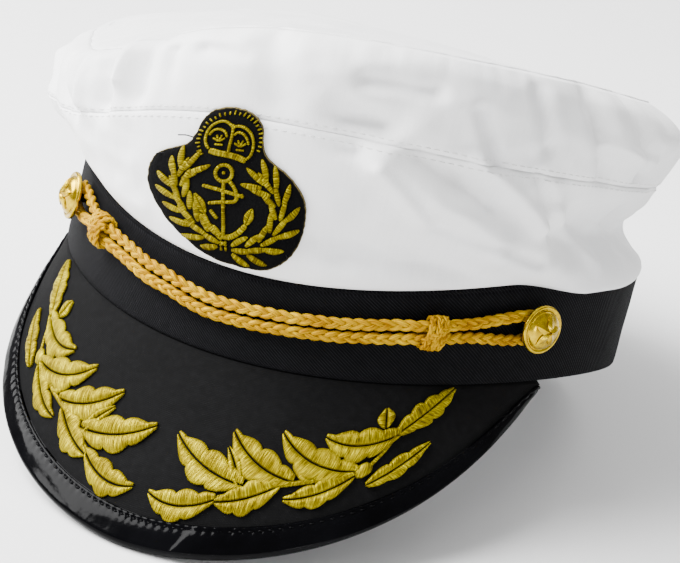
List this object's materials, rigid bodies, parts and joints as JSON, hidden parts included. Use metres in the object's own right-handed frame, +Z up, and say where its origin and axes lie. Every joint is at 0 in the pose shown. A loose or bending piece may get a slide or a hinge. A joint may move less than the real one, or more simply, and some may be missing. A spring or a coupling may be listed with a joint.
{
  "type": "sailor cap",
  "caption": "Peaked sailor cap: soft white crown, black band, cloth peak with patent binding, gold leaf sprays, felt anchor badge and corded strap between buttons.",
  "frame": {"origin": "middle of the cap's box, on the surface that it rests on", "axes": "+Z up, front of the cap with its peak towards -Y, wearer's left towards +X"},
  "size_m": [0.2006, 0.2618, 0.1465],
  "materials": {
    "white_cloth": "soft white poplin with a faint sheen",
    "black_twill": "black twill with a fine diagonal weave",
    "peak_cloth": "matt black cloth",
    "patent_binding": "glossy black patent, stitched",
    "badge_felt": "black felt",
    "gold_thread": "satin-stitched metallic gold thread",
    "gold_cord": "braided golden-yellow cord",
    "gilt_button": "polished gilt"
  },
  "bodies": {
    "root": {"band": "black_twill", "crown_wall_lower": "white_cloth", "crown_wall_upper": "white_cloth", "crown_top": "white_cloth", "peak": "peak_cloth", "peak_binding": "patent_binding", "leaf_spray_left": "gold_thread", "leaf_spray_right": "gold_thread", "badge_patch": "badge_felt", "badge_crown": "gold_thread", "badge_anchor": "gold_thread", "badge_wreath_left": "gold_thread", "badge_wreath_right": "gold_thread", "chin_cord": "gold_cord", "cord_knot_left": "gold_cord", "cord_knot_right": "gold_cord", "button_left": "gilt_button", "button_right": "gilt_button"}
  },
  "joints": []
}
